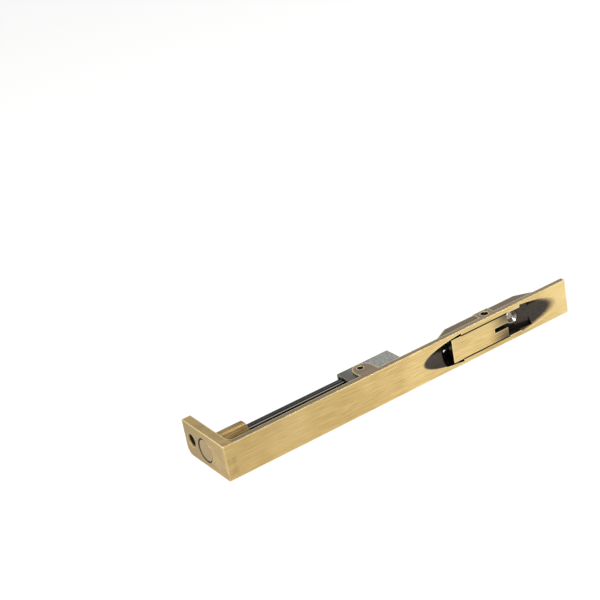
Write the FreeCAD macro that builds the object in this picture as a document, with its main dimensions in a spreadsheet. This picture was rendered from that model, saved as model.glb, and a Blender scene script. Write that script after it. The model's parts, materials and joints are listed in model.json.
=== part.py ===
"""Lever-action flush bolt: a face casting with a flip lever, a drive link and a sliding rod bolt.

The bolt lies on its long side. X runs along the face plate from the flange, Y runs from the
show face to the back, Z runs across the plate's width.
"""
import FreeCAD, Part
import os
import Sketcher

doc = FreeCAD.newDocument("FlushBolt")
sheet = doc.addObject("Spreadsheet::Sheet", "Sizes")

SIZES = {
    # how far a cutter runs past a face, and how far two cutters overlap
    "run_past": 1.0, "overlap": 0.01,
    # face casting
    "plate_length": 225.0, "plate_width": 20.0, "plate_thick": 3.3,
    "flange_depth": 41.0, "flange_thick": 5.3, "flange_corner": 4.5, "root_fillet": 3.5,
    "worn_edge": 0.4,
    "screw_hole": 4.4, "screw_head": 8.0, "screw_sink": 2.2, "flange_screw_depth": 34.5,
    "ear_start": 86.3, "ear_span": 11.7, "ear_height": 14.5, "ear_thick": 3.0,
    "guide_start": 5.3, "guide_depth": 10.6, "guide_dia": 3.5, "guide_recess": 1.0,
    "house_start": 136.4, "house_end": 206.3, "house_depth": 9.0,
    "house_rise": 10.1, "house_fall": 11.3, "house_inset": 0.4, "boss_span": 10.0,
    # finger recess
    "recess_centre": 170.8, "recess_half": 47.9, "recess_radius": 9.4,
    "finger_start": 138.5, "finger_end": 150.5, "well_end": 184.0, "well_wall": 3.0,
    "well_floor": 1.0, "slope_floor": 1.3,
    "link_way": 3.4, "link_way_start": 140.0, "link_way_depth": 4.3,
    "pad_end": 191.5, "landing_end": 199.5, "landing_deep": 7.45, "landing_slope": 0.249,
    "pad_screw": 189.5, "pad_boss": 10.0, "pad_boss_depth": 11.0, "sink_lift": 0.5,
    # lever
    "lever_start": 143.8, "lever_length": 38.4, "lever_thick": 3.3, "lever_gap": 0.2,
    "notch_length": 9.2, "link_slot": 2.8,
    "pivot_across": 171.25, "pivot_depth": 5.04, "pivot_dia": 4.5, "pivot_recess": 1.0,
    "pivot_short": 0.3,
    "hub_radius": 4.7, "lobe_radius": 3.0, "crank_reach": 7.94, "crank_drop": 0.97,
    "crank_dia": 3.0, "crank_short": 0.5, "running_gap": 0.1,
    # drive link
    "link_thick": 2.4, "link_width": 5.0, "link_eye": 2.6, "link_pin_lead": 28.7,
    "link_pin_depth": 13.0, "link_pin_length": 5.8,
    # bolt and slide
    "bolt_depth": 20.0, "bolt_dia": 12.0, "bolt_length": 24.0, "bolt_gap": 0.4,
    "bolt_chamfer": 0.6, "rod_dia": 6.0, "spigot_dia": 4.0, "spigot_gap": 0.5,
    "channel_lap": 1.3, "channel_tail": 4.5, "channel_width": 8.2,
    "channel_wall": 1.0, "channel_front": 7.5, "channel_back": 24.2, "tab_thick": 1.5,
    "throw": 15.88, "block_gap": 4.2, "block_length": 4.0, "block_height": 9.9,
    "rivet_dia": 2.0, "rivet_grip": 1.1, "rivet_head": 3.4, "rivet_head_thick": 0.5,
}

for row, (alias, value) in enumerate(SIZES.items(), start=1):
    sheet.set(f"A{row}", alias)
    sheet.set(f"B{row}", str(value))
    sheet.setAlias(f"B{row}", alias)
doc.recompute()


def size(text):
    """Turn plain size names into references to the sheet."""
    words = []
    word = ""
    for letter in text + " ":
        if letter.isalnum() or letter == "_":
            word += letter
            continue
        words.append("Sizes." + word if word in SIZES else word)
        words.append(letter)
        word = ""
    return "".join(words).strip()


def bind(thing, **formulas):
    """Bind properties of an object, named with __ for a dot, to formulas on the sheet."""
    for name, formula in formulas.items():
        thing.setExpression(name.replace("__", "."), size(formula))
    return thing


def place(thing, x="0", y="0", z="0"):
    return bind(thing, Placement__Base__x=x, Placement__Base__y=y, Placement__Base__z=z)


def box(name, x, y, z, dx, dy, dz):
    thing = doc.addObject("Part::Box", name)
    bind(thing, Length=dx, Width=dy, Height=dz)
    return place(thing, x, y, z)


def cylinder(name, axis, radius, length, x, y, z):
    thing = doc.addObject("Part::Cylinder", name)
    thing.Placement.Rotation = FreeCAD.Rotation(FreeCAD.Vector(0, 0, 1), axis)
    bind(thing, Radius=radius, Height=length)
    return place(thing, x, y, z)


def cone(name, axis, radius, end_radius, length, x, y, z):
    thing = doc.addObject("Part::Cone", name)
    thing.Placement.Rotation = FreeCAD.Rotation(FreeCAD.Vector(0, 0, 1), axis)
    bind(thing, Radius1=radius, Radius2=end_radius, Height=length)
    return place(thing, x, y, z)


def cut(name, base, tool):
    thing = doc.addObject("Part::Cut", name)
    thing.Base, thing.Tool = base, tool
    return thing


def common(name, base, tool):
    thing = doc.addObject("Part::Common", name)
    thing.Base, thing.Tool = base, tool
    return thing


def fuse(name, *shapes):
    thing = doc.addObject("Part::MultiFuse", name)
    thing.Shapes = list(shapes)
    thing.Refine = True
    return thing


def plane_of(body, role):
    return next(f for f in body.Origin.OriginFeatures if f.Role == role)


def outline(body, name, points, bottom="0"):
    """Closed outline on the body's XY plane, each corner at its own pair of formulas."""
    sketch = body.newObject("Sketcher::SketchObject", name)
    sketch.AttachmentSupport = [(plane_of(body, "XY_Plane"), "")]
    sketch.MapMode = "FlatFace"
    bind(sketch, AttachmentOffset__Base__z=bottom)
    values = [tuple(evaluate(part) for part in point) for point in points]
    corners = [FreeCAD.Vector(x, y, 0) for x, y in values]
    for start, end in zip(corners, corners[1:] + corners[:1]):
        sketch.addGeometry(Part.LineSegment(start, end), False)
    count = len(points)
    for line in range(count):
        sketch.addConstraint(Sketcher.Constraint("Coincident", line, 2, (line + 1) % count, 1))
    for line, (point, (x, y)) in enumerate(zip(points, values)):
        for kind, formula, value in (("DistanceX", point[0], x), ("DistanceY", point[1], y)):
            index = sketch.addConstraint(Sketcher.Constraint(kind, -1, 1, line, 1, value))
            sketch.setExpression(f"Constraints[{index}]", size(formula))
    return sketch


def evaluate(formula):
    """Value of a formula, used as the sketch's first guess."""
    return float(FreeCAD.Units.Quantity(str(sheet.evalExpression(size(formula)))).Value)


def prism(label, points, length, bottom="0"):
    """A body padded along Z from one outline."""
    body = doc.addObject("PartDesign::Body", label)
    sketch = outline(body, label + "_outline", points, bottom)
    pad = body.newObject("PartDesign::Pad", label + "_pad")
    pad.Profile = sketch
    bind(pad, Length=length)
    sketch.Visibility = False
    return body


def fillet(name, base, *rounds):
    """Round the edges of a shape: each round is a radius and a test that picks its edges."""
    doc.recompute()
    thing = doc.addObject("Part::Fillet", name)
    thing.Base = base
    chosen = []
    for radius, test in rounds:
        value = evaluate(radius)
        chosen += [(number, value, value)
                   for number, edge in enumerate(base.Shape.Edges, start=1) if test(edge)]
    thing.Edges = chosen
    return thing


along_x = FreeCAD.Vector(1, 0, 0)
along_y = FreeCAD.Vector(0, 1, 0)
along_z = FreeCAD.Vector(0, 0, 1)
mid = "plate_width / 2"
lever_width = "(plate_width - 2 * well_wall - 2 * lever_gap)"
channel_start = "(ear_start - channel_lap)"
channel_length = "(link_pin_lead + channel_tail)"
link_x = f"({channel_start} + link_pin_lead)"
block_start = f"({link_x} - block_gap - block_length)"
subparts = []


def subpart(thing, label):
    """Name a finished piece and move it to the part's frame, centred over its footprint."""
    thing.Label = label
    own = dict(thing.ExpressionEngine)
    for axis, shift in (("x", "plate_length / 2"), ("y", "flange_depth / 2")):
        start = own.get(f".Placement.Base.{axis}", "0")
        thing.setExpression(f"Placement.Base.{axis}", f"{start} - {size(shift)}")
    subparts.append(thing)
    return thing


# ---- face casting: plate, flange, ears and lever housing, cast in one ----
def casting_blank():
    plate = prism("plate_and_flange", [
        ("0", "0"), ("plate_length", "0"), ("plate_length", "plate_thick"),
        ("flange_thick", "plate_thick"), ("flange_thick", "flange_depth"), ("0", "flange_depth"),
    ], "plate_width")
    depth, root, back = (evaluate(name) for name in ("plate_thick", "flange_thick",
                                                     "flange_depth"))
    top, far = evaluate("plate_width"), evaluate("plate_length")
    rounded = fillet("flange_rounds", plate,
                     ("root_fillet", lambda e: same_line(e, root, depth)),
                     ("flange_corner", lambda e: flat_line(e, back, 0.0)))
    cornered = fillet("worn_edges", rounded,
                      ("worn_edge", lambda e: flat_line(e, 0.0, 0.0) or flat_line(e, 0.0, top)
                       or same_line(e, 0.0, 0.0) or same_line(e, far, 0.0)))
    housing = prism("housing", [
        ("house_start", "plate_thick - house_inset"), ("house_start", "plate_thick"),
        ("house_start + house_rise", "house_depth"), ("house_end - house_fall", "house_depth"),
        ("house_end", "plate_thick"), ("house_end", "plate_thick - house_inset"),
    ], "plate_width - 2 * house_inset", "house_inset")
    boss = box("pivot_boss", "pivot_across - boss_span / 2", "plate_thick - house_inset", "0",
               "boss_span", "house_depth - plate_thick + house_inset", "plate_width")
    screw_boss = cylinder("screw_boss", along_y, "pad_boss / 2", "pad_boss_depth - plate_thick",
                          "pad_screw", "plate_thick", mid)
    ears = [ear("ear_low", "0"), ear("ear_high", "plate_width - ear_thick")]
    return fuse("casting_blank", cornered, housing, boss, screw_boss, *ears)


def same_line(edge, x, y):
    """True for a straight edge along Z at the given X and Y."""
    points = [v.Point for v in edge.Vertexes]
    return len(points) == 2 and all(abs(p.x - x) + abs(p.y - y) < 1e-4 for p in points)


def flat_line(edge, y, z):
    """True for a straight edge along X at the given Y and Z."""
    points = [v.Point for v in edge.Vertexes]
    return len(points) == 2 and all(abs(p.y - y) + abs(p.z - z) < 1e-4 for p in points)


def ear(name, bottom):
    """One guide ear: a square foot under a round top."""
    foot = box(name + "_foot", "ear_start", "plate_thick - worn_edge", bottom, "ear_span",
               "ear_height - ear_span / 2 - plate_thick + worn_edge", "ear_thick")
    top = cylinder(name + "_top", along_z, "ear_span / 2", "ear_thick",
                   "ear_start + ear_span / 2", "ear_height - ear_span / 2", bottom)
    return fuse(name, foot, top)


def inclined(name, side):
    """Cylinder whose axis meets the face at the recess centre and dives away from that end."""
    axis_angle = FreeCAD.Rotation(along_z, -side * evaluate_angle())
    along = axis_angle.multVec(FreeCAD.Vector(side, 0, 0))
    length = 3 * evaluate("recess_half")
    middle = FreeCAD.Vector(evaluate("recess_centre"), 0, evaluate(mid))
    tool = doc.addObject("Part::Cylinder", name + "_cylinder")
    tool.Placement = FreeCAD.Placement(middle - along * length / 2,
                                       FreeCAD.Rotation(along_z, along))
    bind(tool, Radius="recess_radius", Height="3 * recess_half")
    return tool


def evaluate_angle():
    """Slope of the scoops in degrees: the cylinder's radius over the ellipse's half length."""
    return evaluate("asin(recess_radius / recess_half)")


def finger_recess():
    end = "recess_centre + recess_half + run_past"
    start = "recess_centre - recess_half - run_past"
    left = common("scoop_near", inclined("scoop_near", -1),
                  box("scoop_near_limit", start, "-run_past", "0", f"finger_end - ({start})",
                      "house_depth + run_past", "plate_width"))
    right = common("scoop_far", inclined("scoop_far", 1),
                   box("scoop_far_limit", "pad_end", "-run_past", "0", f"{end} - pad_end",
                       "house_depth + run_past", "plate_width"))
    rise_slope = "(house_depth - plate_thick) / house_rise"
    floor = "house_depth - well_floor"
    start_depth = f"plate_thick + (finger_start - house_start) * {rise_slope} - slope_floor"
    knee = f"house_start + house_rise + (slope_floor - well_floor) / ({rise_slope})"
    pocket = prism("finger_pocket", [
        ("finger_start", "0"), ("finger_end", "0"), ("finger_end", floor), (knee, floor),
        ("finger_start", start_depth),
    ], "plate_width")
    eye = common("finger_well", ellipse_column("finger_well"), pocket)
    way = box("link_way_box", "link_way_start", "link_way_depth", "plate_width / 2 - link_way / 2",
              "finger_end - link_way_start + overlap", "house_depth", "link_way")
    well = box("lever_well", "finger_end - overlap", "-run_past", "well_wall",
               "well_end - finger_end + overlap", "house_depth + 2 * run_past",
               "plate_width - 2 * well_wall")
    landing = prism("landing", [
        ("well_end - run_past", "0"), ("landing_end", "0"),
        ("landing_end", "landing_deep - landing_slope * (landing_end - well_end)"),
        ("well_end", "landing_deep"), ("well_end - run_past", "landing_deep"),
    ], "plate_width - 2 * well_wall", "well_wall")
    return fuse("recess", left, right, eye, way, well, landing)


def ellipse_column(name):
    """The recess outline carried straight through the housing."""
    eye = doc.addObject("Part::Ellipse", name + "_ellipse")
    bind(eye, MajorRadius="recess_half", MinorRadius="recess_radius")
    eye.Placement.Rotation = FreeCAD.Rotation(along_x, -90)
    place(eye, "recess_centre", "-run_past", mid)
    column = doc.addObject("Part::Extrusion", name + "_column")
    column.Base = eye
    column.DirMode = "Custom"
    column.Dir = along_y
    column.Solid = True
    bind(column, LengthFwd="house_depth + 2 * run_past")
    return column


def screw_way(name, axis, x, y, z, length):
    """A countersunk screw hole that starts at a face and runs along an axis."""
    hole = cylinder(name + "_bore", axis, "screw_hole / 2", length, x, y, z)
    sink = cone(name + "_sink", axis, "screw_head / 2", "screw_hole / 2", "screw_sink", x, y, z)
    return fuse(name, hole, sink)


def face_casting():
    blank = casting_blank()
    pad_depth = "(landing_deep - landing_slope * (pad_screw - well_end))"
    bores = fuse(
        "casting_bores",
        cylinder("bolt_way", along_x, "bolt_dia / 2 + bolt_gap", "flange_thick + 2 * run_past",
                 "-run_past", "bolt_depth", mid),
        screw_way("flange_screw", along_x, "0", "flange_screw_depth", mid,
                  "flange_thick + run_past"),
        screw_way("pad_screw_way", along_y, "pad_screw", pad_depth + " - sink_lift", mid,
                  "pad_boss_depth + run_past"),
        cylinder("pad_head_way", along_y, "screw_head / 2", pad_depth,
                 "pad_screw", "-sink_lift", mid),
        cylinder("guide_way", along_z, "guide_dia / 2", "plate_width + 2 * run_past",
                 "ear_start + guide_start", "guide_depth", "-run_past"),
        cylinder("pivot_way", along_z, "pivot_dia / 2", "plate_width + 2 * run_past",
                 "pivot_across", "pivot_depth", "-run_past"))
    carved = cut("carved_casting", blank, finger_recess())
    return subpart(cut("face_casting", carved, bores), "face_casting")


def pivot_pins():
    cheek = f"({lever_width} - link_slot) / 2"
    length = f"well_wall + lever_gap + {cheek} - pivot_recess - pivot_short"
    low = cylinder("pivot_low", along_z, "pivot_dia / 2", length,
                   "pivot_across", "pivot_depth", "pivot_recess")
    high = cylinder("pivot_high", along_z, "pivot_dia / 2", length, "pivot_across",
                    "pivot_depth", f"plate_width - pivot_recess - ({length})")
    return subpart(fuse("pivot_pins", low, high), "pivot_pins")


def guide_pin():
    pin = cylinder("guide_pin", along_z, "guide_dia / 2", "plate_width - 2 * guide_recess",
                   "ear_start + guide_start", "guide_depth", "guide_recess")
    return subpart(pin, "guide_pin")


# ---- lever: a flush plate over a forked hub, with the crank pin between the cheeks ----
crank_x = "(pivot_across + crank_reach)"
crank_y = "(pivot_depth + crank_drop)"


def lever():
    bottom = "well_wall + lever_gap"
    plate = box("lever_plate", "lever_start", "0", bottom, "lever_length", "lever_thick",
                lever_width)
    hub = cylinder("lever_hub", along_z, "hub_radius", lever_width, "pivot_across",
                   "pivot_depth", bottom)
    lobe = cylinder("lever_lobe", along_z, "lobe_radius", lever_width, crank_x, crank_y, bottom)
    web = prism("lever_web", [
        ("pivot_across", "lever_thick / 2"), (crank_x, "lever_thick / 2"),
        (crank_x, f"{crank_y} + lobe_radius"), ("pivot_across", "pivot_depth + hub_radius"),
    ], lever_width, bottom)
    solid = fuse("lever_blank", plate, hub, lobe, web)
    slot_bottom = "plate_width / 2 - link_slot / 2"
    slot = box("lever_fork", "pivot_across - hub_radius - run_past", "lever_thick", slot_bottom,
               "crank_reach + hub_radius + lobe_radius + 2 * run_past", "house_depth", "link_slot")
    notch = box("lever_notch", "lever_start + lever_length - notch_length", "-run_past",
                slot_bottom, "notch_length + run_past", "lever_thick + 2 * run_past", "link_slot")
    bore = cylinder("lever_bore", along_z, "pivot_dia / 2 + running_gap / 2", "plate_width",
                    "pivot_across", "pivot_depth", "0")
    crank = cylinder("crank_way", along_z, "crank_dia / 2", "plate_width", crank_x, crank_y, "0")
    above = box("lever_trim", "lever_start", "-hub_radius", "0", "lever_length + hub_radius",
                "hub_radius", "plate_width")
    cutter = fuse("lever_cutters", slot, notch, bore, crank, above)
    return subpart(cut("lever", solid, cutter), "lever")


def crank_pin():
    pin = cylinder("crank_pin", along_z, "crank_dia / 2", f"{lever_width} - 2 * crank_short",
                   crank_x, crank_y, "well_wall + lever_gap + crank_short")
    return subpart(pin, "crank_pin")


# ---- drive link ----
def drive_link():
    bottom = "plate_width / 2 - link_thick / 2"
    run = f"({crank_x} - {link_x})"
    drop = f"(link_pin_depth - {crank_y})"
    half = f"link_width / 2 * sqrt({run} ^ 2 + {drop} ^ 2) / {run}"
    bar = prism("link_bar", [
        (crank_x, f"{crank_y} - {half}"), (crank_x, f"{crank_y} + {half}"),
        (link_x, f"link_pin_depth + {half}"),
        (link_x, f"link_pin_depth - {half}"),
    ], "link_thick", bottom)
    near = cylinder("link_crank_eye", along_z, "link_eye", "link_thick", crank_x, crank_y, bottom)
    far = cylinder("link_far_eye", along_z, "link_eye", "link_thick", link_x,
                   "link_pin_depth", bottom)
    bores = fuse("link_bores",
                 cylinder("link_crank_bore", along_z, "crank_dia / 2 + running_gap / 2",
                          "plate_width", crank_x, crank_y, "0"),
                 cylinder("link_pin_bore", along_z, "crank_dia / 2", "plate_width",
                          link_x, "link_pin_depth", "0"))
    return subpart(cut("drive_link", fuse("link_blank", bar, near, far), bores), "drive_link")


def link_pin():
    pin = cylinder("link_pin", along_z, "crank_dia / 2", "link_pin_length", link_x,
                   "link_pin_depth", "plate_width / 2 - link_pin_length / 2")
    return subpart(pin, "link_pin")


# ---- bolt, rod and slide channel ----
def bolt_head():
    length = "bolt_length - bolt_chamfer"
    body = cylinder("bolt_body", along_x, "bolt_dia / 2", length, "0", "bolt_depth", mid)
    end = cone("bolt_end", along_x, "bolt_dia / 2", "bolt_dia / 2 - bolt_chamfer",
               "bolt_chamfer", length, "bolt_depth", mid)
    socket = cylinder("bolt_socket", along_x, "spigot_dia / 2", "bolt_length / 2",
                      "bolt_length / 2 + overlap", "bolt_depth", mid)
    return subpart(cut("bolt_head", fuse("bolt_blank", body, end), socket), "bolt_head")


def bolt_rod():
    rod = cylinder("rod_shank", along_x, "rod_dia / 2", f"{block_start} - bolt_length",
                   "bolt_length", "bolt_depth", mid)
    spigot = cylinder("rod_spigots", along_x, "spigot_dia / 2",
                      f"{block_start} + block_length - bolt_length / 2 - spigot_gap",
                      "bolt_length / 2 + spigot_gap", "bolt_depth", mid)
    return subpart(fuse("bolt_rod", rod, spigot), "bolt_rod")


def slide_channel():
    low = "plate_width / 2 - channel_width / 2"
    blank = box("channel_blank", channel_start, "channel_front", low, channel_length,
                "channel_back - channel_front", "channel_width")
    inner_width = "channel_width - 2 * channel_wall"
    inside = box("channel_inside", channel_start + " - run_past", "channel_front - run_past",
                 f"{low} + channel_wall", channel_length + " - tab_thick + run_past",
                 "channel_back - channel_front - channel_wall + run_past", inner_width)
    gap = box("channel_end_gap", channel_start, "channel_front - run_past",
              "plate_width / 2 - link_slot / 2", channel_length + " + run_past",
              "channel_back - channel_front - channel_wall + run_past", "link_slot")
    slot_y = "guide_depth - guide_dia / 2 - running_gap"
    slot = box("guide_slot", "ear_start + guide_start", slot_y, "0", "throw",
               "guide_dia + 2 * running_gap", "plate_width")
    ends = [cylinder(f"guide_slot_end_{n}", along_z, "guide_dia / 2 + running_gap",
                     "plate_width", x, "guide_depth", "0")
            for n, x in enumerate(("ear_start + guide_start",
                                   "ear_start + guide_start + throw"))]
    holes = rivet_shank("channel_rivet_way", "running_gap / 2")
    cutter = fuse("channel_cutters", inside, gap, slot, *ends, holes)
    return subpart(cut("slide_channel", blank, cutter), "slide_channel")


block_mid = f"({block_start} + block_length / 2)"
block_top = "(channel_back - channel_wall)"


def rivet_shank(name, growth="0"):
    """The rivet that runs from the channel's back through its web into the block."""
    return cylinder(name, along_y, f"rivet_dia / 2 + {growth}", "channel_wall + rivet_grip",
                    block_mid, f"{block_top} - rivet_grip", mid)


def thrust_block():
    blank = box("block_blank", block_start, f"{block_top} - block_height",
                "plate_width / 2 - channel_width / 2 + channel_wall", "block_length",
                "block_height", "channel_width - 2 * channel_wall")
    bore = cylinder("block_bore", along_x, "spigot_dia / 2", "block_length + 2 * run_past",
                    block_start + " - run_past", "bolt_depth", mid)
    tools = fuse("block_cutters", bore, rivet_shank("block_rivet_way", "running_gap / 2"))
    return subpart(cut("thrust_block", blank, tools), "thrust_block")


def block_rivet():
    head = cylinder("rivet_head", along_y, "rivet_head / 2", "rivet_head_thick", block_mid,
                    "channel_back", mid)
    return subpart(fuse("block_rivet", rivet_shank("rivet_shank"), head), "block_rivet")


for build in (face_casting, pivot_pins, guide_pin, lever, crank_pin, drive_link, link_pin,
              bolt_head, bolt_rod, slide_channel, thrust_block, block_rivet):
    build()
doc.recompute()

for thing in doc.Objects:
    if "Invalid" in thing.State or "Error" in thing.State:
        raise RuntimeError(f"{thing.Name} failed: {thing.State}")
for piece in subparts:
    if piece.Shape.isNull() or not piece.Shape.isValid():
        raise RuntimeError(f"{piece.Label} has no valid shape")

os.makedirs("parts", exist_ok=True)
for piece in subparts:
    piece.Shape.exportStep(f"parts/{piece.Label}.step")
    box_now = piece.Shape.optimalBoundingBox()
    print(f"{piece.Label:16s} solids {len(piece.Shape.Solids)} volume {piece.Shape.Volume:9.1f} "
          f"x {box_now.XMin:.2f} {box_now.XMax:.2f} y {box_now.YMin:.2f} {box_now.YMax:.2f} "
          f"z {box_now.ZMin:.2f} {box_now.ZMax:.2f}")
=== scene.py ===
import bpy
import json
import numpy as np
from mathutils import Matrix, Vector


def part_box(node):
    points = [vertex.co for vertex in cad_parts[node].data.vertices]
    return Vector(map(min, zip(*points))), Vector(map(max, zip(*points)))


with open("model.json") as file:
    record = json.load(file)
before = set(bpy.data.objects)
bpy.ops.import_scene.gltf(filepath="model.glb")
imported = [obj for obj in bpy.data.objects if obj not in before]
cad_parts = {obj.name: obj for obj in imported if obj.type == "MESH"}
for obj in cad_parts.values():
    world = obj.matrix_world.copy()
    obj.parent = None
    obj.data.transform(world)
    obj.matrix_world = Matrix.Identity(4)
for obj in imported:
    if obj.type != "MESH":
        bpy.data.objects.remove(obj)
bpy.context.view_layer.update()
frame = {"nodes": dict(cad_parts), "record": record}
mm = 0.001
print("frame loaded")

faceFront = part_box("face_casting")[0][1]      # the show face
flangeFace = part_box("face_casting")[0][0]     # the flange's outer face
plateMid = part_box("face_casting")[1][2] / 2   # half the plate's height
leverLow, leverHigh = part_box("lever")
boltLow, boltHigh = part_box("bolt_head")
rodLow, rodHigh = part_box("bolt_rod")
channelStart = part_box("slide_channel")[0][0]
mountPlaces = {m["name"]: m["pos_m"] for m in frame["record"]["mounts"]}

smooth = {"interpolation_type": "SMOOTHSTEP"}  # Map Range: 0 at the first value, 1 at the second
twoColours = {"data_type": "RGBA"}             # Mix: factor 0, colours 6 and 7, result 2


def toLinear(hexColour):
    # sRGB to linear: the upper curve is ((c + 0.055) / 1.055) to the power 2.4
    parts = [int(hexColour[i:i + 2], 16) / 255 for i in (1, 3, 5)]
    return tuple(c / 12.92 if c <= 0.04045 else ((c + 0.055) / 1.055) ** 2.4
                 for c in parts) + (1.0,)


def addNode(tree, kind, inputs=(), out=0, **settings):
    # one node: settings by name, inputs in order or by socket; gives the output asked for
    node = tree.nodes.new("ShaderNode" + kind)
    for name, value in settings.items():
        setattr(node, name, value)
    for socket, value in inputs.items() if isinstance(inputs, dict) else enumerate(inputs):
        if isinstance(value, bpy.types.NodeSocket):
            tree.links.new(value, node.inputs[socket])
        else:
            node.inputs[socket].default_value = value
    return node.outputs[out] if out in range(len(node.outputs)) else node


def newMaterial(name):
    material = bpy.data.materials.new(name)
    material.use_nodes = True
    material.node_tree.nodes.clear()
    return material, material.node_tree


def layered(tree, colour, layers):
    # each layer is a share and the colour laid over what lies below it by that share
    for share, over in layers:
        over = toLinear(over) if isinstance(over, str) else over
        colour = addNode(tree, "Mix", {0: share, 6: colour, 7: over}, 2, **twoColours)
    return colour


def limited(tree, mask, limits):
    # the mask, kept inside all limits: each is a value, where the mask is gone, where it is whole
    for value, gone, whole in limits:
        limit = addNode(tree, "MapRange", (value, gone, whole), **smooth)
        mask = addNode(tree, "Math", (mask, limit), operation="MULTIPLY")
    return mask


def anyOf(tree, mask, *others):
    # 1 where any of the masks is 1
    for other in others:
        mask = addNode(tree, "Math", (mask, other), operation="MAXIMUM")
    return mask


def distanceTo(tree, place, centre):
    # how far the place is from the centre; both are 0 along an axis that doesn't count
    point = addNode(tree, "CombineXYZ", place)
    return addNode(tree, "VectorMath", (point, centre), 1, operation="DISTANCE")


def fromFace(depths):
    # Y of depths behind the show face
    return [faceFront + depth for depth in depths]


def fromFlange(reaches):
    # X of reaches from the flange's outer face
    return [flangeFace + reach for reach in reaches]


def offMiddle(insets):
    # distances from the plate's middle line of insets from its long sides
    return [plateMid - inset for inset in insets]


streakRoughness = 0.6  # how much of the finer noise each pattern keeps


def brushed(tree, place, length, spacing, detail=3.0):
    # noise drawn out along X: each streak is about length by spacing; equal sizes make blotches
    longPlace = addNode(tree, "Mapping", {"Vector": place,
                                          "Scale": (1 / length, 1 / spacing, 1 / spacing)})
    return addNode(tree, "TexNoise", {"Vector": longPlace, "Scale": 1.0, "Detail": detail,
                                      "Roughness": streakRoughness})


wearGlintFrom, wearGlintFull = 0.985, 0.87  # cosines of a turn of about 10 and 30 degrees
wearGlintSamples = 6


def wornAndGlintEdges(tree, radius):
    # 1 where the surface turns within radius of the point: the rounded normal leaves the true
    # one.
    # It places the bright edges, partly worn and partly painted highlight
    rounded = addNode(tree, "Bevel", {"Radius": radius}, samples=wearGlintSamples)
    flat = addNode(tree, "NewGeometry", out=3)
    dot = addNode(tree, "VectorMath", (rounded, flat), out=1, operation="DOT_PRODUCT")
    return addNode(tree, "MapRange", (dot, wearGlintFrom, wearGlintFull), **smooth)


bumpDepth = 0.06 * mm  # height of the brushing and plating marks


def coat(tree, colour, metallic, roughness, height, bumpStrength, corner):
    # the finish itself: corners rounded by the shader, the pattern raised as bump
    rounded = addNode(tree, "Bevel", {"Radius": corner})
    bump = addNode(tree, "Bump", {"Height": height, "Strength": bumpStrength,
                                  "Distance": bumpDepth, "Normal": rounded})
    shader = addNode(tree, "BsdfPrincipled", {"Base Color": colour, "Metallic": metallic,
                                              "Roughness": roughness, "Normal": bump})
    addNode(tree, "OutputMaterial", (shader,))


# A pair is where a mask starts and where it is whole: Place along X from the part's middle,
# Reach along X from the flange's outer face, Depth behind the show face, Inset from the plate's
# long sides, Cut in a noise pattern.
antiqueBrass = {
    "face": "#e6c887", "faceDark": "#b0955f", "faceLight": "#fbe3a4",
    "streakLength": 15 * mm, "streakSpacing": 0.38 * mm, "streakCut": (0.27, 0.73),
    "fineLength": 5 * mm, "fineSpacing": 0.28 * mm, "fineCut": (0.5, 0.75), "fineShare": 0.42,
    "softDetail": 2.0, "cloud": 34 * mm, "cloudCut": (0.42, 0.68), "cloudShare": 0.28,
    "film": "#a48a5a", "filmPlace": (5 * mm, -112 * mm), "filmShare": 0.45,
    "rubbedPlace": (92 * mm, 110 * mm), "rubbedShare": 0.4,
    "side": "#796b56", "sideDark": "#615543",
    "wall": "#625849", "wallDark": "#4e463d",
    "wallInset": (0.15 * mm, 0.3 * mm), "wallDepth": (3.0 * mm, 3.4 * mm),
    "flange": "#a08a5c", "flangeDark": "#7d6b47", "flangeReach": (7 * mm, 4.5 * mm),
    "patch": 6 * mm, "patchCut": (0.4, 0.62), "patchShare": 0.6,
    "recess": "#4d4640", "recessDark": "#3a342f", "sideInset": (0.75 * mm, 0.55 * mm),
    "backDepth": (11.2 * mm, 11.6 * mm), "recessPlace": (8 * mm, 6 * mm),
    "shadeWithin": 7 * mm, "shadeCut": (0.15, 0.85), "shadeShare": 0.75, "shadeSamples": 8,
    "sink": "#a39a8c", "sinkRadius": (4.1 * mm, 3.8 * mm),
    "sinkFront": (-4 * mm, -3.8 * mm), "sinkBack": (1.4 * mm, 1.2 * mm),  # from the bore's middle
    # edge: the bright edges, partly worn and partly painted highlight; the two shares after it
    # are their strength on the sides and on the face
    "edge": "#ffeab0", "edgeRadius": 1.1 * mm, "edgeWear": 0.55, "faceWear": 0.4,
    "metallic": 0.92, "faceRoughness": 0.4, "sideRoughness": 0.46, "recessRoughness": 0.25,
    "roughCut": (0.3, 0.7), "roughSpread": 0.05,
    "corner": 0.3 * mm, "bump": 0.14, "fineBump": 0.4,
}


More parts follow.
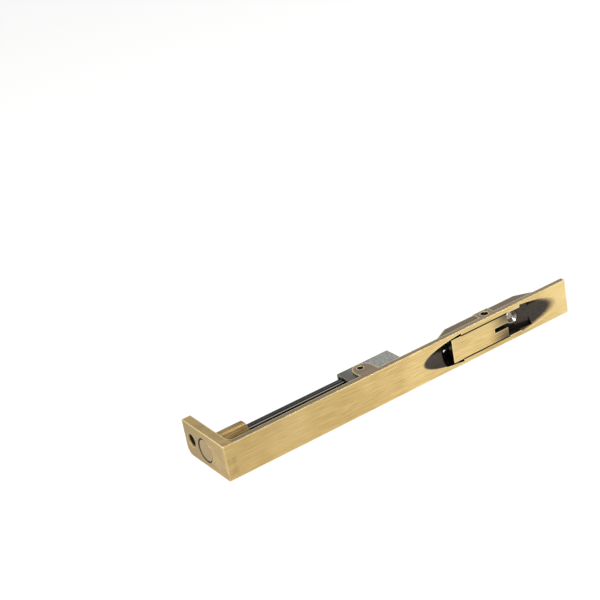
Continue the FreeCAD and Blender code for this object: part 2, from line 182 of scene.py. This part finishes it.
def makeAntiqueBrass(name, faceMask):
    # Antique brass: cast brass, chemically browned, then the show faces brushed along their
    # length back to gold. The eye sees gold streaks on the faces, brown-grey on the sides,
    # dark brown in the recess with painted shade in its corners, painted shadow in the gaps,
    # and bright edges, partly worn and partly painted highlight.
    s = antiqueBrass
    material, tree = newMaterial(name)
    place = addNode(tree, "TexCoord", out=3)
    x, y, z = addNode(tree, "SeparateXYZ", (place,)).node.outputs
    aside = addNode(tree, "Math", (z, plateMid), operation="SUBTRACT")
    aside = addNode(tree, "Math", (aside,), operation="ABSOLUTE")
    onFace = faceMask(tree, x, y, aside)
    long = brushed(tree, place, s["streakLength"], s["streakSpacing"])
    fine = brushed(tree, place, s["fineLength"], s["fineSpacing"], s["softDetail"])
    streak = addNode(tree, "MapRange", (long, *s["streakCut"]), **smooth)
    gold = goldFace(tree, place, x, streak, fine)
    # the brown body: the recess inside, the sides and back outside
    onSide = addNode(tree, "MapRange", (aside, *offMiddle(s["sideInset"])), **smooth)
    behind = addNode(tree, "MapRange", (y, *fromFace(s["backDepth"])), **smooth)
    beforeRecess = addNode(tree, "MapRange", (x, *s["recessPlace"]), **smooth)
    outside = anyOf(tree, behind, beforeRecess, onSide)
    onFlange = addNode(tree, "MapRange", (x, *fromFlange(s["flangeReach"])), **smooth)
    side = brownSides(tree, y, aside, streak, onFlange)
    body = layered(tree, recessBrown(tree, x, y, z, streak), ((outside, side),))
    # cloudy film on the flange, bright edges where hands and brush wore them, partly painted
    # highlight, and last painted shadow in the gaps round the bolt, the flange screw and the
    # lever
    patch = brushed(tree, place, s["patch"], s["patch"], s["softDetail"])
    patch = addNode(tree, "MapRange", {0: patch, 1: s["patchCut"][0], 2: s["patchCut"][1],
                                       4: s["patchShare"]}, **smooth)
    patch = addNode(tree, "Math", (patch, onFlange), operation="MULTIPLY")
    shown = anyOf(tree, outside, onFace)
    wornAndGlint = addNode(tree, "Math", (wornAndGlintEdges(tree, s["edgeRadius"]), shown), operation="MULTIPLY")
    wearAndGlintShare = addNode(tree, "Math", (onFace, s["faceWear"], s["edgeWear"]),
                   operation="MULTIPLY_ADD")
    wornAndGlint = addNode(tree, "Math", (wornAndGlint, wearAndGlintShare), operation="MULTIPLY")
    gapShade = paintedGapShadows(tree, x, y, z, aside)
    colour = layered(tree, body, ((onFace, gold), (patch, s["film"]), (wornAndGlint, s["edge"]),
                                  (gapShade, gapShadows["dark"])))
    rough = addNode(tree, "Mix", {0: outside, 2: s["recessRoughness"], 3: s["sideRoughness"]})
    rough = addNode(tree, "Mix", {0: onFace, 2: rough, 3: s["faceRoughness"]})
    uneven = addNode(tree, "MapRange", (long, *s["roughCut"], -s["roughSpread"],
                                        s["roughSpread"]))
    rough = addNode(tree, "Math", (rough, uneven), operation="ADD")
    grain = addNode(tree, "Math", (fine, s["fineBump"], long), operation="MULTIPLY_ADD")
    coat(tree, colour, s["metallic"], rough, grain, s["bump"], s["corner"])
    return material


def goldFace(tree, place, x, streak, fine):
    # the brushed gold, from the ground up: streaks, light clouds, film toward the flange,
    # fine scratches, and lighter metal at the far end
    s = antiqueBrass
    cloud = brushed(tree, place, s["cloud"], s["cloud"], s["softDetail"])
    shares = {}
    for part, value, cut in (("cloud", cloud, s["cloudCut"]), ("fine", fine, s["fineCut"]),
                             ("film", x, s["filmPlace"]), ("rubbed", x, s["rubbedPlace"])):
        shares[part] = addNode(tree, "MapRange", {0: value, 1: cut[0], 2: cut[1],
                                                  4: s[part + "Share"]}, **smooth)
    return layered(tree, toLinear(s["faceDark"]), (
        (streak, s["face"]), (shares["cloud"], s["faceLight"]), (shares["film"], s["film"]),
        (shares["fine"], s["faceDark"]), (shares["rubbed"], s["faceLight"])))


def brownTone(tree, part, streak):
    # the two brown tones of a part, streaked
    return layered(tree, toLinear(antiqueBrass[part + "Dark"]), ((streak, antiqueBrass[part]),))


def brownSides(tree, y, aside, streak, onFlange):
    # the rough sides, the cast walls set in from them, and the flange
    s = antiqueBrass
    setIn = addNode(tree, "MapRange", (aside, *offMiddle(s["wallInset"])), **smooth)
    onWall = limited(tree, setIn, ((y, *fromFace(s["wallDepth"])),))
    return layered(tree, brownTone(tree, "side", streak),
                   ((onWall, brownTone(tree, "wall", streak)),
                    (onFlange, brownTone(tree, "flange", streak))))


def recessBrown(tree, x, y, z, streak):
    # the recess, with painted shade darkening it where walls stand close, and its screw's
    # countersink: bare metal, painted lighter to give a highlight
    s = antiqueBrass
    openness = addNode(tree, "AmbientOcclusion", {"Distance": s["shadeWithin"]}, 1,
                       samples=s["shadeSamples"])
    shade = addNode(tree, "MapRange", (openness, *s["shadeCut"], 1 - s["shadeShare"]), **smooth)
    # the countersink's lighter tone is bare metal, partly a painted highlight
    sinkX, sinkY, sinkZ = mountPlaces["recess_screw"]
    far = distanceTo(tree, (x, 0.0, z), (sinkX, 0.0, sinkZ))
    onSink = addNode(tree, "MapRange", (far, *s["sinkRadius"]), **smooth)
    onSink = limited(tree, onSink, [(y, sinkY + s[end][0], sinkY + s[end][1])
                                    for end in ("sinkFront", "sinkBack")])
    return layered(tree, (0, 0, 0, 1), ((shade, brownTone(tree, "recess", streak)),
                                        (onSink, s["sink"])))


# painted shadow in the gaps round the bolt, the flange screw and the lever: its colour and where
# it lies
gapShadows = {
    "dark": "#17130f", "blur": 0.15 * mm, "flangeReach": (5.4 * mm, 5.2 * mm),
    "boltRim": 0.9 * mm, "boltBack": 0.8 * mm, "boltDown": 0.4 * mm, "screwRadius": 3.3 * mm,
    "leverGap": 0.2 * mm, "wellBlur": (0.6 * mm, 0.3 * mm), "wellDepth": (3 * mm, 2 * mm),
    "wellStart": (6 * mm, 7 * mm), "wellEnd": (1.5 * mm, 0.0),     # from the lever's two ends
}


def paintedGapShadows(tree, x, y, z, aside):
    # 1 where painted shadow darkens the gaps: in the flange's round ways and along the lever's
    #                                          well.
    # A round way is where the distance from its axis is under its radius. The bolt's rim is set
    # back and down, so that the painted shadow shows widest on that side of the bolt.
    r = gapShadows
    boltAxis = (boltLow[1] + boltHigh[1]) / 2
    boltRadius = (boltHigh[2] - boltLow[2]) / 2
    ways = 0.0
    for axisY, axisZ, radius in (
            (boltAxis + r["boltBack"], plateMid - r["boltDown"], boltRadius + r["boltRim"]),
            (mountPlaces["flange_screw"][1], plateMid, r["screwRadius"])):
        far = distanceTo(tree, (0.0, y, z), (0.0, axisY, axisZ))
        way = addNode(tree, "MapRange", (far, radius + r["blur"], radius - r["blur"]), **smooth)
        ways = anyOf(tree, way, ways)
    ways = limited(tree, ways, ((x, *fromFlange(r["flangeReach"])),))
    wall = (leverHigh[2] - leverLow[2]) / 2 + r["leverGap"]
    well = addNode(tree, "Math", (aside, wall), operation="SUBTRACT")
    well = addNode(tree, "Math", (well,), operation="ABSOLUTE")
    well = addNode(tree, "MapRange", (well, *r["wellBlur"]), **smooth)
    well = limited(tree, well, ((x, *[leverLow[0] + w for w in r["wellStart"]]),
                                (x, *[leverHigh[0] + w for w in r["wellEnd"]]),
                                (y, *fromFace(r["wellDepth"]))))
    return anyOf(tree, well, ways)


castingGold = {
    "goldDepth": (0.35 * mm, 0.1 * mm),
    "fadeNear": 0.5 * mm, "fadeFar": 1.5 * mm, "fadeTurn": 20 * mm,  # how deep the soft rim goes
    "nearEnd": (6.5 * mm, 6 * mm), "farEnd": (9.3 * mm, 9.8 * mm),   # from the lever's two ends
    "fadeInset": (0.2 * mm, 0.4 * mm), "fadePlace": (6 * mm, 8 * mm),
    "endReach": (0.45 * mm, 0.15 * mm), "endDepth": (36 * mm, 4 * mm),
    "flangeBackGold": 0.3, "flangeFrontGold": 0.9,
}


def castingFaces(tree, x, y, aside):
    # the front is gold, and the gold fades into the scoops where the brush reached their rims;
    # the fade is deeper at the far scoop; the flange's outer face is partly gold
    c = castingGold
    front = addNode(tree, "MapRange", (y, *fromFace(c["goldDepth"])), **smooth)
    middle = (leverLow[0] + leverHigh[0]) / 2
    fade = addNode(tree, "MapRange", (x, middle, middle + c["fadeTurn"], c["fadeNear"],
                                      c["fadeFar"]), **smooth)
    deep = addNode(tree, "Math", (y, faceFront), operation="SUBTRACT")
    deep = addNode(tree, "Math", (deep, fade), operation="DIVIDE")
    rim = addNode(tree, "MapRange", (deep, 1.0, 0.0), **smooth)
    near = addNode(tree, "MapRange", (x, *[leverLow[0] + w for w in c["nearEnd"]]), **smooth)
    far = addNode(tree, "MapRange", (x, *[leverHigh[0] + w for w in c["farEnd"]]), **smooth)
    ends = limited(tree, anyOf(tree, near, far), ((aside, *offMiddle(c["fadeInset"])),
                                                   (x, *c["fadePlace"])))
    rim = addNode(tree, "Math", (rim, ends), operation="MULTIPLY")
    end = addNode(tree, "MapRange", (x, *fromFlange(c["endReach"])), **smooth)
    gold = addNode(tree, "MapRange", (y, *fromFace(c["endDepth"]), c["flangeBackGold"],
                                      c["flangeFrontGold"]), **smooth)
    end = addNode(tree, "Math", (end, gold), operation="MULTIPLY")
    return anyOf(tree, front, rim, end)


leverPlate = {"goldDepth": (0.6 * mm, 0.1 * mm), "filmRadius": (0.5 * mm, 14 * mm),
              "cornerGold": 0.15}


def leverFaces(tree, x, y, aside):
    # the lever's plate is brushed, with brown film left round the corners of its pivot end
    front = addNode(tree, "MapRange", (y, *fromFace(leverPlate["goldDepth"])), **smooth)
    corner = (leverHigh[0], (leverHigh[2] - leverLow[2]) / 2, 0.0)
    far = distanceTo(tree, (x, aside, 0.0), corner)
    rubbed = addNode(tree, "MapRange", (far, *leverPlate["filmRadius"],
                                        leverPlate["cornerGold"]), **smooth)
    return addNode(tree, "Math", (front, rubbed), operation="MULTIPLY")


# what the other metals have in common
plainMetal = {"detail": 4.0, "toneCut": (0.38, 0.64), "roughCut": (0.3, 0.7),
              "roughSpread": 0.06, "edgeRadius": 0.3 * mm, "edgeShare": 0.7,
              "corner": 0.2 * mm}


def makeMetal(name, base, dark, roughness, length, width, metallic=0.9, bump=0.15,
              edge=None, end=None, line=None):
    # one metal of two tones: streaks of the dark tone, length along X by width; edge is the
    # tone of its edges, partly worn and partly painted highlight, end a tone with where along X
    # it starts and is whole, and the highlight line a painted highlight: a tone with its place
    # across X and how far from that it is gone and whole
    p = plainMetal
    material, tree = newMaterial(name)
    place = addNode(tree, "TexCoord", out=3)
    x, y, z = addNode(tree, "SeparateXYZ", (place,)).node.outputs
    pattern = brushed(tree, place, length, width, p["detail"])
    tone = addNode(tree, "MapRange", (pattern, *p["toneCut"]), **smooth)
    layers = [(tone, base)]
    if end:
        layers.append((addNode(tree, "MapRange", (x, *end[1:]), **smooth), end[0]))
    # the painted highlight line along the part
    if line:
        far = distanceTo(tree, (0.0, y, z), (0.0, *line[1]))
        layers.append((addNode(tree, "MapRange", (far, *line[2:]), **smooth), line[0]))
    if edge:
        wornAndGlint = wornAndGlintEdges(tree, p["edgeRadius"])
        layers.append((addNode(tree, "Math", (wornAndGlint, p["edgeShare"]), operation="MULTIPLY"),
                       edge))
    rough = addNode(tree, "MapRange", (pattern, *p["roughCut"], roughness - p["roughSpread"],
                                       roughness + p["roughSpread"]))
    coat(tree, layered(tree, toLinear(dark), layers), metallic, rough, pattern, bump,
         p["corner"])
    return material


# Turned brass rod, browned: dull gold tool marks under a thin brown film, the end face lighter,
# and bright edges, partly worn and partly painted highlight
turnedBrass = {"base": "#91784a", "dark": "#6e5937", "roughness": 0.38, "length": 14 * mm,
               "width": 1.2 * mm, "edge": "#e6cb85",
               "end": ("#a58c60", boltLow[0] + 0.5 * mm, boltLow[0] + 0.2 * mm)}
# Blackened steel bar: near-black, with a thin painted highlight line along its upper front
rodRadius = (rodHigh[2] - rodLow[2]) / 2
highlightSide = (-0.7, 0.714)  # from the rod's axis, in radii: to the front and up
rodHighlightLine = ((rodLow[1] + rodHigh[1]) / 2 + highlightSide[0] * rodRadius,
           plateMid + highlightSide[1] * rodRadius)
blackSteel = {"base": "#2a2724", "dark": "#141210", "roughness": 0.26, "length": 30 * mm,
              "width": 1.5 * mm, "line": ("#96918a", rodHighlightLine, 0.286 * mm, 0.154 * mm)}
# Zinc-plated pressed steel: cool grey, mottled by the plating, with dull bright edges, partly
# worn and partly painted highlight, and painted shade darkening it toward the flange's end,
# where the ear shades it
zincSteel = {"base": "#8a8b85", "dark": "#656661", "roughness": 0.5, "length": 1.3 * mm,
             "width": 1.0 * mm, "metallic": 0.75, "bump": 0.35, "edge": "#c9cbc6",
             "end": ("#4c4a45", channelStart + 16 * mm, channelStart + 3 * mm)}
# Bright drawn steel: pale grey with fine lines along the link, and near-white edges, partly
# worn and partly painted highlight
drawnSteel = {"base": "#6a6865", "dark": "#33302d", "roughness": 0.22, "length": 12 * mm,
              "width": 0.7 * mm, "edge": "#f2f2ee"}
# Steel pins left dark by the browning bath
brownedPin = {"base": "#2b2622", "dark": "#12100e", "roughness": 0.45, "length": 1.5 * mm,
              "width": 1.5 * mm}

finishes = (
    (makeAntiqueBrass("antiqueBrassCasting", castingFaces), ["face_casting"]),
    (makeAntiqueBrass("antiqueBrassLever", leverFaces), ["lever"]),
    (makeMetal("turnedBrownedBrass", **turnedBrass), ["bolt_head"]),
    (makeMetal("blackenedSteelBar", **blackSteel), ["bolt_rod"]),
    (makeMetal("zincPlatedSteel", **zincSteel), ["slide_channel", "thrust_block"]),
    (makeMetal("brightDrawnSteel", **drawnSteel), ["drive_link", "crank_pin", "link_pin"]),
    (makeMetal("brownedSteelPin", **brownedPin), ["pivot_pins", "guide_pin", "block_rivet"]),
)
for finish, nodeNames in finishes:
    for nodeName in nodeNames:
        slots = frame["nodes"][nodeName].data.materials
        slots.clear()
        slots.append(finish)
print("finishes set")

studio = {
    "floorSize": 6.0, "floorColour": "#f4f4f2", "floorGlow": 0.73, "worldStrength": 0.6,
    "keyPlace": (-0.55, -0.6, 1.0), "keySize": 0.45, "keyWatts": 16.5,
    "rimPlace": (0.5, 0.3, 0.8), "rimSize": 0.3, "rimWatts": 3.0,
}


def seenRays(tree):
    # 1 for what the camera sees straight, in a gloss or through glass
    rays = addNode(tree, "LightPath").node.outputs
    return anyOf(tree, rays["Is Camera Ray"], rays["Is Glossy Ray"],
                  rays["Is Transmission Ray"])


def makeFloor():
    # a flat square whose corners are half its size from the middle
    half = studio["floorSize"] / 2
    mesh = bpy.data.meshes.new("studio_floor")
    corners = np.array([[-1, -1, 0], [1, -1, 0], [1, 1, 0], [-1, 1, 0]], float) * half
    mesh.from_pydata(corners.tolist(), [], [(0, 1, 2, 3)])
    floor = bpy.data.objects.new("studio_floor", mesh)
    bpy.context.scene.collection.objects.link(floor)
    material, tree = newMaterial("paleStudioFloor")
    paint = addNode(tree, "BsdfDiffuse", (toLinear(studio["floorColour"]),))
    glow = addNode(tree, "Emission", ((1, 1, 1, 1), 1.0))
    share = addNode(tree, "Math", (seenRays(tree), studio["floorGlow"]), operation="MULTIPLY")
    addNode(tree, "OutputMaterial", (addNode(tree, "MixShader", (share, paint, glow)),))
    mesh.materials.append(material)


def makeWorld():
    # white where it is seen, weaker as the light on the object
    world = bpy.data.worlds.new("studio")
    world.use_nodes = True
    bpy.context.scene.world = world
    tree = world.node_tree
    tree.nodes.clear()
    strength = addNode(tree, "MapRange", {0: seenRays(tree), 3: studio["worldStrength"]})
    back = addNode(tree, "Background", ((1, 1, 1, 1), strength))
    addNode(tree, "OutputWorld", (back,))


def aim(thing, place, right, up):
    # axes as columns: right, up, and back, which is right across up; then the place
    holder = bpy.data.objects.new(thing.name, thing)
    bpy.context.scene.collection.objects.link(holder)
    axes = np.column_stack((right, up, np.cross(right, up), place))
    holder.matrix_world = Matrix([*axes.tolist(), [0, 0, 0, 1]])
    return holder


def makeLamp(name):
    # a square lamp, turned so that it shines from its place at the origin
    lamp = bpy.data.lights.new(name + "Lamp", "AREA")
    lamp.size = studio[name + "Size"]
    lamp.energy = studio[name + "Watts"]
    place = np.array(studio[name + "Place"])
    right = np.cross(-place, (0, 0, 1))
    right /= np.linalg.norm(right)
    up = np.cross(place, right)
    aim(lamp, place, right, up / np.linalg.norm(up))


viewpoint = {
    "eye": (-0.39159, -0.61837, 0.4045),
    "right": (0.8167, -0.552, -0.1684),
    "down": (-0.3699, -0.2767, -0.8869),
    "lens": 93.4, "sensor": 36, "shiftX": 0.0012, "shiftY": -0.001, "clip": 0.01,
}


def makeCamera():
    camera = bpy.data.cameras.new("viewpoint")
    camera.lens = viewpoint["lens"]
    camera.sensor_width = viewpoint["sensor"]
    camera.shift_x = viewpoint["shiftX"]
    camera.shift_y = viewpoint["shiftY"]
    camera.clip_start = viewpoint["clip"]
    right = np.array(viewpoint["right"])
    right /= np.linalg.norm(right)
    back = np.cross(np.array(viewpoint["down"]), right)
    back /= np.linalg.norm(back)
    bpy.context.scene.camera = aim(camera, viewpoint["eye"], right, np.cross(back, right))


makeFloor()
makeWorld()
makeLamp("key")
makeLamp("rim")
makeCamera()
bpy.context.scene.view_settings.view_transform = "Standard"
print("studio set")
